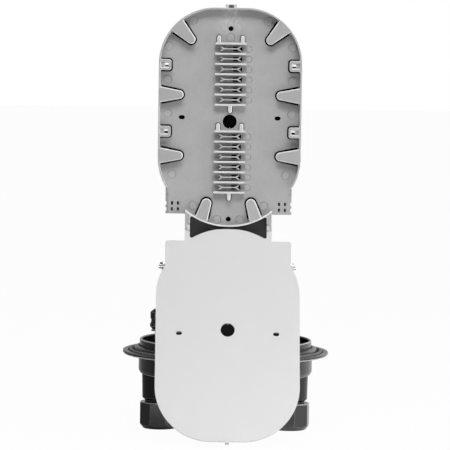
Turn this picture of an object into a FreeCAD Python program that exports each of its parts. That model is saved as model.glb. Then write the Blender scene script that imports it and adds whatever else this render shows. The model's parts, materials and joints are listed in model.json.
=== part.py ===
"""Fibre splice closure, opened and without its dome.

Millimetres, +Z up, front of the tray towards -Y. The heights below are measured from the top face of the
flange that the dome clamps to. Each piece is saved with the origin on the base axis, level with the foot
of the spigot inside the dome.
"""
import FreeCAD
import Part
import math
import os

V = FreeCAD.Vector
X_AXIS = V(1, 0, 0)
Y_AXIS = V(0, 1, 0)
Z_AXIS = V(0, 0, 1)

# Fits between pieces, and how far a cutter runs past the wall it cuts
running_gap = 0.3
seat_gap = 0.05
pin_play = 0.08
past = 1.0

# Base: flange, dome spigot and drum
flange_radius = 105.2
flange_thick = 3.5
flange_edge_round = 1.2
flange_top_bevel = 0.5
flange_land = 11.3
spigot_wall = 2.6
spigot_top = 11.4
spigot_foot = 5.0
spigot_bevel = 0.7
step_width = 5.0
step_top = 3.5
step_draft = 0.9
drum_overhang = 0.9
drum_bottom = -24.0
drum_round = 4.0
floor_thick = 4.0
blind_hole_depth = 3.2
seal_inset = 7.8
seal_width = 3.2
seal_height = 3.1
seal_bevel = 0.9
seal_groove_depth = 1.4

# Cable ports and their glands, in the order right, back, left, front
port_count = 4
port_inset = 22.3
port_bore = 12.5
tube_radius_top = 18.7
tube_radius_end = 18.1
tube_end = -49.5
tube_chamfer = 2.3
neck_radius = 15.3
neck_length = 21.2
seal_seat_wall = 2.0
seal_length = 14.0
ring_thick = 3.4
plug_radius = 7.0
plug_head_lip = 3.5
plug_head_thick = 3.0
plug_reach = 2.0
plug_bevel = 1.0
nut_flats = 39.0
nut_sides = 8
nut_top_gap = 1.7
nut_floor_gap = 0.5
nut_floor = 4.0
nut_hole_radius = 11.0
nut_chamfer_height = 5.2
nut_chamfer_inset = 4.4
nut_top_bevel = 1.0
nut_bevel_slope = 1.6
nut_turns = (12.8, 28.0, 17.0, 5.0)

# Splice tray, in its own plane: u across, v up from the hinge axis, w forward from the rim
hinge_height = 128.6
hinge_front = -57.0
tray_half_width = 71.6
tray_top = 219.6
tray_top_round = 56.0
tray_low_round = 58.0
tray_low_start = 70.0
tray_depth = 10.0
tray_floor = 2.0
tray_wall = 1.8
corner_setback = 8.4
corner_bottom = 13.4
corner_strip = 2.1
corner_strip_length = 20.4
corner_step = 0.6
neck_half_width = 43.5
arc_radius = 70.0
arc_low = 0.9
arc_wall = 1.5
mould_gap = 1.3
root_bite = 1.2
tongue_thick = 1.8
tongue_bevel = 0.8
tongue_base = 16.3
tongue_tip = 8.8
tongue_length = 23.4
side_tongue_heights = (132.5, 71.7)
low_tongue_base = 13.0
low_tongue_tip = 10.0
low_tongue_length = 20.6
low_tongue_reach = 27.0
low_tongue_height = 9.3
low_tongue_angle = 72.5
clip_length = 10.8
clip_width = 10.8
clip_round = 2.2
clip_thick = 2.2
clip_window = 3.6
clip_window_share = 0.58
clip_frame_end = 2.4
clip_frame_side = 2.6
clip_recess = 1.3
clip_heights = (162.2, 95.8)
rib_count = 7
rib_pitch = 10.18
rib_length = 31.0
rib_thick = 1.9
rib_drop = 1.5
rib_group_tops = (183.9, 96.3)
spring_length = 20.6
spring_stem = 13.0
spring_thick = 1.2
spring_spread = 2.1
spring_drop = 3.5
spring_end_slant = 0.5
spring_crotch = 1.6
tab_width = 4.0
tab_length = 8.2
tab_gap = 0.6
tab_bevel = 0.6
tab_spread = 11.7
tab_thick = 2.0
centre_hole_radius = 7.0
centre_hole_height = 106.1
centre_tooth = 1.6
peg_hole_radius = 2.5
peg_heights = (199.0, 8.3)
oval_long = 6.0
oval_short = 4.0
oval_reach = 48.0
oval_height = 109.9
tie_insets = (12.5, 6.5, 0.0)
tie_rows = (17.8, 23.8)
tie_hole_width = 2.0
tie_hole_height = 3.3
catch_width = 10.8
catch_height = 3.4
catch_depth = 6.0
catch_setback = 2.0
latch_width = 4.0
latch_height = 2.2
latch_reach = 5.0

# Lid and its hinge
lid_thick = 2.0
lid_inset = 0.4
lid_arc_low = 0.7
lid_corner_round = 2.4
lid_overlap = 4.0
hinge_eye_radius = 3.2
hinge_pin_radius = 1.5
ear_thick = 2.3
arm_thick = 2.4
lid_rest_gap = 0.4

# Tray carrier
carrier_thick = 3.0
carrier_inset = 2.0
carrier_rim = 6.0
carrier_rim_wall = 2.0
carrier_rib = 2.0
carrier_ribs_at = (-24.0, 24.0)
carrier_cross_ribs = (44.0, 150.0)
stem_half_width = 41.0
stem_overlap = 35.0
foot_depth = 30.0
foot_thick = 4.0
gusset_height = 46.0
boss_radius = 3.6
boss_height = 1.2

# Fasteners and clamps
screw_head_radius = 4.0
screw_head_height = 2.6
screw_head_crown = 0.8
screw_shank_radius = 2.0
screw_bite = 3.0
screw_slot = 1.0
foot_screw_x = 32.0
foot_screw_rows = (8.0, 23.0)
bar_thick = 2.0
bar_height = 14.0
bar_middle = 92.6
bar_reach = 69.4
bar_end_length = 13.0
bar_lug = 12.0
bar_lug_root = 4.0
bar_boss_radius = 4.2
clamp_screw_inset = 5.2
clamp_plate_size = 9.4
clamp_plate_thick = 1.8
stud_setback = 30.0
stud_offset = 1.5
stud_radius = 3.0
stud_top = 42.0
stud_sides = 6
stud_base_flats = 10.0
stud_base_height = 6.0
stud_collar_radius = 4.2
washer_radius = 8.0
washer_thick = 1.6
knob_radius = 9.4
knob_bottom = 23.5
knob_height = 20.5
knob_foot_inset = 2.6
knob_foot_rise = 3.0
knob_foot_band = 2.0
knob_waist = 8.2
knob_waist_start = 8.0
knob_waist_end = 10.0
knob_grip_start = 11.5
knob_grip_inset = 0.4
knob_crown = 3.0
knob_crown_inset = 4.0
knob_flutes = 8
knob_flute_radius = 1.5
knob_flute_offset = 0.6

# Heights and faces that follow from the sizes above
step_radius = flange_radius - flange_land - step_draft
spigot_radius = step_radius - step_width
drum_radius = spigot_radius + drum_overhang
port_circle = drum_radius - port_inset
stud_x = -port_circle - stud_offset
stud_y = -stud_setback
floor_top = drum_bottom + floor_thick
seal_groove_radius = flange_radius - seal_inset
seal_ring_base = -seal_groove_depth
neck_top = tube_end - tube_chamfer
neck_end = neck_top - neck_length
seal_seat_radius = neck_radius - seal_seat_wall
seal_seat_top = neck_end + seal_length
ring_bottom = neck_end - ring_thick
nut_top = neck_top - nut_top_gap
nut_inside = ring_bottom - nut_floor_gap
nut_bottom = nut_inside - nut_floor
corner_half_width = tray_half_width - corner_setback
tray_back = -tray_depth
floor_face = tray_back + tray_floor
hole_low = tray_back - past
hole_high = floor_face + past
carrier_front = hinge_front + tray_depth
carrier_back = carrier_front + carrier_thick
clip_middle = tray_half_width - tray_wall - clip_length * clip_window_share
bar_low = bar_middle - bar_height / 2
clamp_seat = bar_low + bar_thick
washer_seat = knob_bottom - running_gap - washer_thick


def revolve(points):
    """Solid of revolution about Z from (radius, height) points."""
    wire = Part.makePolygon([V(r, 0, z) for r, z in points + points[:1]])
    return Part.Face(wire).revolve(V(), Z_AXIS, 360)


def disc(radius, low, high, x=0.0, y=0.0):
    return Part.makeCylinder(radius, high - low, V(x, y, low))


def block(x0, x1, y0, y1, z0, z1):
    return Part.makeBox(x1 - x0, y1 - y0, z1 - z0, V(x0, y0, z0))


def prism(sides, flats, low, high, turn=0.0):
    """Regular prism about Z with its size across flats."""
    reach = flats / 2 / math.cos(math.pi / sides)
    angles = [math.radians(turn + 360 * i / sides) for i in range(sides + 1)]
    wire = Part.makePolygon([V(reach * math.cos(a), reach * math.sin(a), low) for a in angles])
    return Part.Face(wire).extrude(V(0, 0, high - low))


def outline(steps):
    """Closed face in the XY plane: (x, y) is a line to a point, (x, y, mx, my) an arc through (mx, my)."""
    edges = []
    here = V(steps[-1][0], steps[-1][1], 0)
    for step in steps:
        there = V(step[0], step[1], 0)
        if len(step) == 4:
            edges.append(Part.Arc(here, V(step[2], step[3], 0), there).toShape())
        else:
            edges.append(Part.LineSegment(here, there).toShape())
        here = there
    return Part.Face(Part.Wire(edges))


def slab(steps, low, high):
    face = outline(steps)
    face.translate(V(0, 0, low))
    return face.extrude(V(0, 0, high - low))


def bevelled(wide, narrow, low, high, bevel):
    """Slab whose front edges slope in from a wide outline to a narrow one."""
    ends = [outline(wide), outline(narrow)]
    ends[0].translate(V(0, 0, high - bevel))
    ends[1].translate(V(0, 0, high))
    front = Part.makeLoft([end.OuterWire for end in ends], True, True)
    return slab(wide, low, high - bevel).fuse(front).removeSplitter()


def both_sides(shape):
    """A shape on the right and its mirror image on the left."""
    return [shape, shape.mirror(V(), X_AXIS)]


def fused(shapes):
    return shapes[0].multiFuse(shapes[1:]).removeSplitter()


def cut_away(shape, cutters):
    return shape.cut(Part.makeCompound(cutters)).removeSplitter()


def at_tray(shape):
    """From the tray's own plane to its upright place on the closure."""
    placed = shape.copy()
    placed.rotate(V(), X_AXIS, 90)
    placed.translate(V(0, hinge_front, hinge_height))
    return placed


def save(shape, name):
    """Write one piece with the origin at the foot of the dome spigot."""
    moved = shape.copy()
    moved.translate(V(0, 0, -spigot_foot))
    moved.exportStep(os.path.join("parts", name + ".step"))


def port_places():
    for i in range(port_count):
        angle = 2 * math.pi * i / port_count
        yield i, port_circle * math.cos(angle), port_circle * math.sin(angle)


def foot_screw_places():
    for row in foot_screw_rows:
        for x in (-foot_screw_x, foot_screw_x):
            yield x, carrier_back + row


def clamp_places():
    y = carrier_back + carrier_rim + bar_lug / 2
    for side in (-1, 1):
        yield side * (bar_reach - clamp_screw_inset), y


def base_housing():
    """Round pan with flange, stepped dome spigot, port tubes and threaded necks."""
    inner = spigot_radius - spigot_wall
    round_in = drum_round * 0.3
    body = revolve([
        (0, floor_top), (inner, floor_top),
        (inner, spigot_top - spigot_bevel), (inner + spigot_bevel, spigot_top),
        (spigot_radius - spigot_bevel, spigot_top), (spigot_radius, spigot_top - spigot_bevel),
        (spigot_radius, spigot_foot), (step_radius, step_top), (step_radius + step_draft, 0),
        (flange_radius - flange_top_bevel, 0), (flange_radius, -flange_top_bevel),
        (flange_radius, flange_edge_round - flange_thick), (flange_radius - flange_edge_round, -flange_thick),
        (drum_radius, -flange_thick), (drum_radius, drum_bottom + drum_round),
        (drum_radius - round_in, drum_bottom + round_in),
        (drum_radius - drum_round, drum_bottom), (0, drum_bottom)])
    groove_in = seal_groove_radius - seal_width / 2
    groove_out = seal_groove_radius + seal_width / 2
    groove = revolve([
        (groove_in, seal_ring_base), (groove_out, seal_ring_base), (groove_out, past), (groove_in, past)])
    tubes = []
    cuts = []
    for _, x, y in port_places():
        tube = revolve([
            (0, drum_bottom + past), (tube_radius_top, drum_bottom + past), (tube_radius_end, tube_end),
            (neck_radius, neck_top), (neck_radius, neck_end), (0, neck_end)])
        bore = disc(port_bore, neck_end - past, floor_top + past)
        bore = bore.fuse(disc(seal_seat_radius, neck_end - past, seal_seat_top))
        for shape in (tube, bore):
            shape.translate(V(x, y, 0))
        tubes.append(tube)
        cuts.append(bore)
    hole_bottom = floor_top - blind_hole_depth
    for x, y in foot_screw_places():
        cuts.append(disc(screw_shank_radius + seat_gap, hole_bottom, floor_top + past, x, y))
    cuts.append(disc(stud_radius + seat_gap, hole_bottom, floor_top + past, stud_x, stud_y))
    return cut_away(body.cut(groove).multiFuse(tubes), cuts)


def dome_seal():
    """Ring in the flange's groove with a bevelled top that the dome presses on."""
    inner = seal_groove_radius - seal_width / 2 + seat_gap
    outer = seal_groove_radius + seal_width / 2 - seat_gap
    top = seal_ring_base + seal_height
    shoulder = top - seal_bevel
    return revolve([(inner, seal_ring_base), (outer, seal_ring_base),
                    (outer, shoulder), (outer - seal_bevel, top),
                    (inner + seal_bevel, top), (inner, shoulder)])


def gland_nut(turn):
    reach = nut_flats / 2 / math.cos(math.pi / nut_sides)
    body = prism(nut_sides, nut_flats, nut_bottom, nut_top, turn)
    turned = revolve([
        (0, nut_bottom), (reach - nut_chamfer_inset, nut_bottom), (reach, nut_bottom + nut_chamfer_height),
        (reach, nut_top - nut_top_bevel), (reach - nut_top_bevel * nut_bevel_slope, nut_top), (0, nut_top)])
    hollow = disc(neck_radius + running_gap, nut_inside, nut_top + past)
    hollow = hollow.fuse(disc(nut_hole_radius, nut_bottom - past, nut_inside + past))
    return body.common(turned).cut(hollow)


def port_seal():
    ring = disc(seal_seat_radius - seat_gap, neck_end, seal_seat_top)
    return ring.cut(disc(plug_radius + seat_gap, neck_end - past, seal_seat_top + past))


def pressure_ring():
    ring = disc(neck_radius - running_gap, ring_bottom, neck_end)
    return ring.cut(disc(plug_radius + running_gap, ring_bottom - past, neck_end + past))


def port_plug():
    """Blank plug that closes a port with no cable, its head inside above the seal."""
    low = ring_bottom - plug_reach
    high = seal_seat_top + plug_head_thick
    head = plug_radius + plug_head_lip
    return revolve([
        (0, low), (plug_radius - plug_bevel, low),
        (plug_radius, low + plug_bevel), (plug_radius, seal_seat_top),
        (head, seal_seat_top), (head, high - plug_bevel), (head - plug_bevel, high), (0, high)])


def arc_end(radius, low):
    """Height at the neck's edge of an arc about the tray's middle with its lowest point at a height."""
    return low + arc_radius - math.sqrt(radius ** 2 - neck_half_width ** 2)


def rounded_sides(inset):
    """Right-hand ends of the tray's rounded sides for an outline moved in by an inset."""
    side = tray_half_width - inset
    top = tray_top - inset
    big = tray_top_round - inset
    top_x = side - big
    top_y = top - big
    diagonal = big * math.sqrt(0.5)
    return side, top, top_x, top_y, diagonal


def low_round(inset, end_x):
    """End height and middle point of the lower rounding, which runs in to a distance from the middle."""
    small = tray_low_round - inset
    centre = tray_half_width - tray_low_round
    end_y = tray_low_start - math.sqrt(small ** 2 - (end_x - centre) ** 2)
    turn = math.atan2(end_y - tray_low_start, end_x - centre) / 2
    return end_y, centre + small * math.cos(turn), tray_low_start + small * math.sin(turn)


def tray_steps(inset, arc_bottom):
    """Outline of tray, lid and carrier, moved in by an inset, with the arc at the hinge end."""
    side, top, top_x, top_y, diagonal = rounded_sides(inset)
    corner = corner_half_width - inset
    low = corner_bottom + inset
    low_y, mid_x, mid_y = low_round(inset, corner)
    neck_y = arc_end(arc_radius, arc_bottom)
    right = [
        (neck_half_width, low), (corner, low), (corner, low_y), (side, tray_low_start, mid_x, mid_y),
        (side, top_y), (top_x, top, top_x + diagonal, top_y + diagonal)]
    left = [
        (-top_x, top), (-side, top_y, -top_x - diagonal, top_y + diagonal), (-side, tray_low_start),
        (-corner, low_y, -mid_x, mid_y), (-corner, low), (-neck_half_width, low), (-neck_half_width, neck_y)]
    return right + left + [(neck_half_width, neck_y, 0, arc_bottom)]


def wall_steps(inset, bottom):
    """Outline that a side wall follows, running straight down to a height at the hinge end."""
    side, top, top_x, top_y, diagonal = rounded_sides(inset)
    end_x = corner_half_width - inset
    end_y, mid_x, mid_y = low_round(inset, end_x)
    return [
        (end_x, bottom), (end_x, end_y), (side, tray_low_start, mid_x, mid_y), (side, top_y),
        (top_x, top, top_x + diagonal, top_y + diagonal), (-top_x, top),
        (-side, top_y, -top_x - diagonal, top_y + diagonal), (-side, tray_low_start),
        (-end_x, end_y, -mid_x, mid_y), (-end_x, bottom)]


def side_wall(inset, thick, low, high):
    """Wall along the rounded sides only, left open where the corners narrow to the hinge."""
    end_y = low_round(0, corner_half_width)[0]
    inside = slab(wall_steps(inset + thick, -past), low - past, high + past)
    ring = slab(wall_steps(inset, 0), low, high).cut(inside)
    return ring.cut(block(-tray_half_width, tray_half_width, -past, end_y, low - past, high + past))


def tongue_steps(base, tip, length, back, grow):
    """Tongue along +x from its root, with a round tip, grown all round by a gap."""
    radius = tip / 2 + grow
    half = base / 2 + grow
    straight = length - tip / 2
    return [(-back, -half), (straight, -radius), (straight, radius, straight + radius, 0), (-back, half)]


def tongue_places():
    """Root point, direction and sizes of the tongues on the left half of the tray."""
    root_x = tray_half_width - tray_wall
    on_arc = math.sqrt(0.5) * (tray_top_round - tray_wall - root_bite)
    corner_x = tray_half_width - tray_top_round
    corner_y = tray_top - tray_top_round
    full = (tongue_base, tongue_tip, tongue_length)
    yield -corner_x - on_arc, corner_y + on_arc, -45.0, full
    for height in side_tongue_heights:
        yield -root_x, height, 0.0, full
    short = (low_tongue_base, low_tongue_tip, low_tongue_length)
    yield -low_tongue_reach, low_tongue_height, low_tongue_angle, short


def turned_to(shape, x, y, angle):
    shape.rotate(V(), Z_AXIS, angle)
    shape.translate(V(x, y, 0))
    return shape


def placed(steps, low, high, x, y, angle):
    return turned_to(slab(steps, low, high), x, y, angle)


def spring_steps():
    """Double-ended wishbone that presses the splice sleeves against the ribs."""
    half = spring_thick / 2
    stem = spring_stem / 2
    end = spring_length / 2
    slant = end - spring_end_slant
    quarter = [
        (stem, -half), (slant, -spring_spread - half), (end, half - spring_spread), (stem + spring_crotch, 0),
        (end, spring_spread - half), (slant, spring_spread + half), (stem, half)]
    return quarter + [(-x, -y) for x, y in quarter]


def centre_hole(low, high):
    """Round hole with a small pointed tooth at its lower side."""
    hole = disc(centre_hole_radius, low, high, 0, centre_hole_height)
    base = centre_hole_height - centre_hole_radius
    half = centre_tooth / 2
    return hole.cut(slab([(-half, base - half), (half, base - half), (0, base + centre_tooth)], low, high))


def oval_holes(low, high):
    reach = (oval_long - oval_short) / 2
    half = oval_short / 2
    steps = [(reach, -half), (reach, half, reach + half, 0),
             (-reach, half), (-reach, -half, -reach - half, 0)]
    return both_sides(placed(steps, low, high, oval_reach, oval_height, 0))


def clip_steps(inner, outer, low, high, radius):
    """Plate from the rim inwards, rounded at its two inner corners."""
    nip = radius * (1 - math.sqrt(0.5))
    return [
        (outer, high), (inner + radius, high), (inner, high - radius, inner + nip, high - nip),
        (inner, low + radius), (inner + radius, low, inner + nip, low + nip), (outer, low)]


def side_clip(height):
    """Small framed plate at the rim with a window through it, and the mould hole under it."""
    root = tray_half_width - tray_wall
    half = clip_width / 2
    window = clip_window / 2
    inner = root - clip_length
    low = height - half
    high = height + half
    plate = slab(clip_steps(inner, root + past, low, high, clip_round), -clip_thick, 0)
    recess = block(
        inner + clip_frame_end, root, low + clip_frame_side, high - clip_frame_side, -clip_recess, past)
    through = block(
        clip_middle - window, clip_middle + window, height - window, height + window, hole_low, past)
    edge = clip_steps(inner - mould_gap, root, low - mould_gap, high + mould_gap, clip_round + mould_gap)
    under = slab(edge, hole_low, hole_high)
    return plate.cut(recess).cut(through), under


def splice_holder(top):
    """Ribs, wishbones and end tabs of one group, and the mould holes under them."""
    half = rib_length / 2
    rib_face = -rib_drop
    heights = [top - rib_pitch * i for i in range(rib_count)]
    adds = []
    cuts = []
    for height in heights:
        adds.append(block(-half, half, height - rib_thick / 2, height + rib_thick / 2, floor_face, rib_face))
    reach = spring_length / 2 + mould_gap
    for height in heights[:-1]:
        middle = height - rib_pitch / 2
        adds.append(placed(spring_steps(), floor_face, -spring_drop, 0, middle, 0))
        cuts.append(block(spring_thick * 2, reach, middle - spring_spread, middle + spring_spread, hole_low,
                          floor_face))
    tab = tongue_steps(tab_width, tab_width, tab_length, 0, 0)
    tab_face = tongue_steps(tab_width, tab_width, tab_length, 0, -tab_bevel)
    hole = tongue_steps(tab_width, tab_width, tab_length, -rib_thick, tab_gap)
    for x, y, angle in ((-tab_spread, heights[0], 90), (tab_spread, heights[0], 90), (0, heights[-1], -90)):
        shape = bevelled(tab, tab_face, rib_face - tab_thick, rib_face, tab_bevel)
        adds.append(turned_to(shape, x, y, angle))
        cuts.append(placed(hole, hole_low, hole_high, x, y, angle))
    return adds, cuts


def hinge_eye(inner, outer, top, low, high):
    """Eye about the hinge axis from one u to another, with a strap up to a height."""
    eye = Part.makeCylinder(hinge_eye_radius, outer - inner, V(inner, 0, 0), X_AXIS)
    return eye.fuse(block(inner, outer, 0, top, low, high))


def hinge_shoulder(inner, outer):
    """Filling between a tray ear and the arc, above the lid's arm."""
    low = hinge_eye_radius + 2 * running_gap
    tops = [arc_low + arc_radius - math.sqrt(arc_radius ** 2 - x ** 2) + arc_wall / 2 for x in (inner, outer)]
    return slab([(inner, low), (outer + past, low), (outer + past, tops[1]), (inner, tops[0])], tray_back, 0)


def pin_bore(play):
    reach = neck_half_width + past
    return Part.makeCylinder(hinge_pin_radius + play, reach * 2, V(-reach, 0, 0), X_AXIS)


def tie_holes():
    """Slots for cable ties near the tray's lower corners, the outermost ones open at the edge."""
    half_width = tie_hole_width / 2
    half_height = tie_hole_height / 2
    for row in tie_rows:
        for inset in tie_insets:
            x = corner_half_width - inset
            yield block(
                x - half_width, x + half_width, row - half_height, row + half_height, hole_low, hole_high)


def splice_tray():
    neck_y = arc_end(arc_radius, arc_low)
    inner_y = arc_end(arc_radius - arc_wall, arc_low)
    arc = slab([(-neck_half_width, neck_y), (neck_half_width, neck_y, 0, arc_low), (neck_half_width, inner_y),
                (-neck_half_width, inner_y, 0, arc_low + arc_wall)], tray_back, 0)
    adds = [side_wall(0, tray_wall, tray_back, 0), arc]
    cuts = [centre_hole(hole_low, hole_high)] + oval_holes(hole_low, hole_high)
    cuts += [disc(peg_hole_radius, hole_low, hole_high, 0, height) for height in peg_heights]
    for x, y, angle, (base, tip, length) in tongue_places():
        tongue = tongue_steps(base, tip, length, root_bite, 0)
        tongue_face = tongue_steps(base, tip, length, root_bite, -tongue_bevel)
        hole = tongue_steps(base, tip, length, -mould_gap, mould_gap)
        shape = bevelled(tongue, tongue_face, -tongue_thick, 0, tongue_bevel)
        adds += both_sides(turned_to(shape, x, y, angle))
        cuts += both_sides(placed(hole, hole_low, hole_high, x, y, angle))
    for height in clip_heights:
        plate, under = side_clip(height)
        adds += both_sides(plate)
        cuts += both_sides(under)
    for top in rib_group_tops:
        holder, holes = splice_holder(top)
        adds += holder
        cuts += holes
    for hole in tie_holes():
        cuts += both_sides(hole)
    cuts += both_sides(block(corner_half_width - corner_strip, corner_half_width + past, corner_bottom - past,
                             corner_bottom + corner_strip_length, floor_face - corner_step, hole_high))
    floor = slab(tray_steps(0, arc_low), tray_back, floor_face).cut(Part.makeCompound(cuts))
    ear_inner = neck_half_width - ear_thick
    adds += both_sides(hinge_eye(ear_inner, neck_half_width, neck_y + past, tray_back, 0))
    adds += both_sides(hinge_shoulder(ear_inner - running_gap - arm_thick, ear_inner))
    catch_back = -catch_setback - catch_depth
    half_slot = latch_width / 2 + running_gap
    adds.append(block(-catch_width / 2, catch_width / 2, tray_top - past, tray_top + catch_height, catch_back,
                      -catch_setback))
    slot_top = tray_top + latch_height + 2 * running_gap
    slot = block(-half_slot, half_slot, tray_top, slot_top, catch_back - past, past)
    return cut_away(fused([floor] + adds), [slot, pin_bore(0)])


def hinge_pins():
    length = ear_thick + running_gap + arm_thick
    pin = Part.makeCylinder(hinge_pin_radius, length, V(neck_half_width - length, 0, 0), X_AXIS)
    return Part.makeCompound(both_sides(pin))


def is_lid_corner(point):
    """True for the upright edges at the lid's two outer corners on the hinge side."""
    across = abs(abs(point.x) - corner_half_width + lid_inset)
    return across < past and abs(point.y - corner_bottom - lid_inset) < past


def tray_lid():
    """Lid as it lies closed on the rim."""
    low = running_gap
    high = running_gap + lid_thick
    half_latch = latch_width / 2
    latch_end = tray_top + latch_height
    plate = slab(tray_steps(lid_inset, lid_arc_low), low, high)
    corners = [edge for edge in plate.Edges if is_lid_corner(edge.CenterOfMass)]
    plate = plate.makeFillet(lid_corner_round, corners)
    arm_outer = neck_half_width - ear_thick - running_gap
    arm_inner = arm_outer - arm_thick
    web_low = hinge_eye_radius + 2 * running_gap
    web_high = corner_bottom + lid_overlap
    adds = [plate]
    adds += both_sides(hinge_eye(arm_inner, arm_outer, web_high, low, high))
    adds += both_sides(block(arm_inner, neck_half_width, web_low, web_high, low, high))
    adds.append(block(-half_latch, half_latch, tray_top - lid_inset - past, latch_end, low, high))
    adds.append(block(-half_latch, half_latch, tray_top + running_gap, latch_end, -latch_reach, high))
    cuts = [centre_hole(low - past, high + past), pin_bore(pin_play)] + oval_holes(low - past, high + past)
    return cut_away(fused(adds), cuts)


def lid_open_angle():
    """Turn from closed at which the lid's outer face rests just clear of the flange's rim."""
    reach = hinge_front + flange_radius
    clear = running_gap + lid_thick + lid_rest_gap
    return math.degrees(math.atan2(hinge_height, reach) + math.acos(clear / math.hypot(hinge_height, reach)))


def gusset(x, low, near, far):
    """Triangular gusset in a plane of constant u, from a wall down to a foot."""
    left = x - carrier_rib / 2
    corners = [V(left, low, near), V(left, low + gusset_height, near), V(left, low, far), V(left, low, near)]
    return Part.Face(Part.makePolygon(corners)).extrude(V(carrier_rib, 0, 0))


def tray_carrier():
    """Moulded upright behind the tray: plate with a rim and ribs, stem, foot and gussets."""
    front = tray_back
    back = tray_back - carrier_thick
    rim_back = back - carrier_rim
    foot_back = front - foot_depth
    floor_v = floor_top - hinge_height
    foot_v = floor_v + foot_thick
    half_rib = carrier_rib / 2
    adds = [
        slab(tray_steps(carrier_inset, corner_bottom), back, front),
        side_wall(carrier_inset, carrier_rim_wall, rim_back, back),
        block(-stem_half_width, stem_half_width, floor_v, corner_bottom + stem_overlap, back, front),
        block(-stem_half_width, stem_half_width, floor_v, foot_v, foot_back, back)]
    rib_top = tray_top - carrier_inset - carrier_rim_wall * 2
    for x in carrier_ribs_at:
        adds.append(block(x - half_rib, x + half_rib, floor_v, rib_top, rim_back, back))
        adds.append(gusset(x, foot_v, back, foot_back))
    for height in carrier_cross_ribs:
        half = tray_half_width if height > tray_low_start else corner_half_width
        half -= carrier_inset + carrier_rim_wall / 2
        adds.append(block(-half, half, height - half_rib, height + half_rib, rim_back, back))
    adds.append(disc(boss_radius, back, front + boss_height, 0, centre_hole_height))
    adds += [disc(peg_hole_radius - seat_gap, back, front + boss_height, 0, height) for height in peg_heights]
    cuts = []
    bar_v = bar_middle - hinge_height
    for x in carrier_ribs_at:
        adds.append(disc(bar_boss_radius, rim_back, back, x, bar_v))
        hole_end = rim_back + blind_hole_depth
        cuts.append(disc(screw_shank_radius + seat_gap, rim_back - past, hole_end, x, bar_v))
    for height in clip_heights:
        cuts += both_sides(block(clip_middle - clip_window, clip_middle + clip_window, height - clip_window,
                                 height + clip_window, rim_back - past, front + past))
    for x, y in foot_screw_places():
        start = V(x, floor_v - past, hinge_front - y)
        cuts.append(Part.makeCylinder(screw_shank_radius + seat_gap, foot_thick + 2 * past, start, Y_AXIS))
    return cut_away(fused(adds), cuts)


def pan_screw(length):
    """Slotted pan-head screw, head up, seated at height zero."""
    edge = screw_head_height / 2
    head = revolve([(0, 0), (screw_head_radius, 0), (screw_head_radius, edge),
                    (screw_head_radius * screw_head_crown, screw_head_height), (0, screw_head_height)])
    slot = block(-screw_head_radius, screw_head_radius, -screw_slot / 2, screw_slot / 2, edge,
                 screw_head_height + past)
    return head.fuse(disc(screw_shank_radius, -length, edge)).cut(slot).removeSplitter()


def screws_at(places, seat, length):
    solids = []
    for x, y in places:
        screw = pan_screw(length)
        screw.translate(V(x, y, seat))
        solids.append(screw)
    return Part.makeCompound(solids)


def clamp_bar():
    """Zinc-plated strip across the carrier's back with lugs folded level at both ends."""
    back = carrier_back + carrier_rim
    strip_reach = bar_reach - bar_end_length
    strip = block(-strip_reach, strip_reach, back, back + bar_thick, bar_low, bar_low + bar_height)
    lug = block(strip_reach - bar_lug_root, bar_reach, back, back + bar_lug, bar_low, clamp_seat)
    hole_radius = screw_shank_radius + seat_gap
    holes = [disc(hole_radius, bar_low - past, clamp_seat + past, x, y) for x, y in clamp_places()]
    for x in carrier_ribs_at:
        start = V(x, back - past, bar_middle)
        holes.append(Part.makeCylinder(hole_radius, bar_thick + 2 * past, start, Y_AXIS))
    return cut_away(fused([strip] + both_sides(lug)), holes)


def bar_screws():
    """Screws that hold the clamp bar to the bosses on the carrier's back."""
    solids = []
    for x in carrier_ribs_at:
        screw = pan_screw(bar_thick + screw_bite)
        screw.rotate(V(), X_AXIS, -90)
        screw.translate(V(x, carrier_back + carrier_rim + bar_thick, bar_middle))
        solids.append(screw)
    return Part.makeCompound(solids)


def clamp_plates():
    half = clamp_plate_size / 2
    top = clamp_seat + clamp_plate_thick
    solids = []
    for x, y in clamp_places():
        plate = block(x - half, x + half, y - half, y + half, clamp_seat, top)
        solids.append(plate.cut(disc(screw_shank_radius + seat_gap, clamp_seat - past, top + past, x, y)))
    return Part.makeCompound(solids)


def clamp_stud():
    """Hexagon-foot stud on the base floor that the thumb knob turns on."""
    shoulder = floor_top + stud_base_height
    foot = prism(stud_sides, stud_base_flats, floor_top, shoulder)
    collar = disc(stud_collar_radius, shoulder, washer_seat)
    stud = fused([foot, collar, disc(stud_radius, floor_top - blind_hole_depth + seat_gap, stud_top)])
    stud.translate(V(stud_x, stud_y, 0))
    return stud


def thumb_knob():
    """Fluted knob with a waist, bored to run on the stud."""
    low = knob_bottom
    high = knob_bottom + knob_height
    grip = knob_radius - knob_grip_inset
    knob = revolve([
        (0, low), (knob_radius - knob_foot_inset, low), (knob_radius, low + knob_foot_rise),
        (knob_radius, low + knob_foot_rise + knob_foot_band), (knob_waist, low + knob_waist_start),
        (knob_waist, low + knob_waist_end), (grip, low + knob_grip_start), (grip, high - knob_crown),
        (knob_radius - knob_crown_inset, high), (0, high)])
    reach = knob_radius + knob_flute_offset
    cuts = [disc(stud_radius + running_gap, low - past, stud_top + running_gap)]
    for i in range(knob_flutes):
        angle = 2 * math.pi * (i + 0.5) / knob_flutes
        x = reach * math.cos(angle)
        y = reach * math.sin(angle)
        cuts.append(disc(knob_flute_radius, low - past, high + past, x, y))
    knob = knob.cut(Part.makeCompound(cuts))
    knob.translate(V(stud_x, stud_y, 0))
    return knob


def stud_washer():
    washer = disc(washer_radius, washer_seat, washer_seat + washer_thick)
    washer = washer.cut(disc(stud_radius + seat_gap, washer_seat - past, knob_bottom))
    washer.translate(V(stud_x, stud_y, 0))
    return washer


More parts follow.
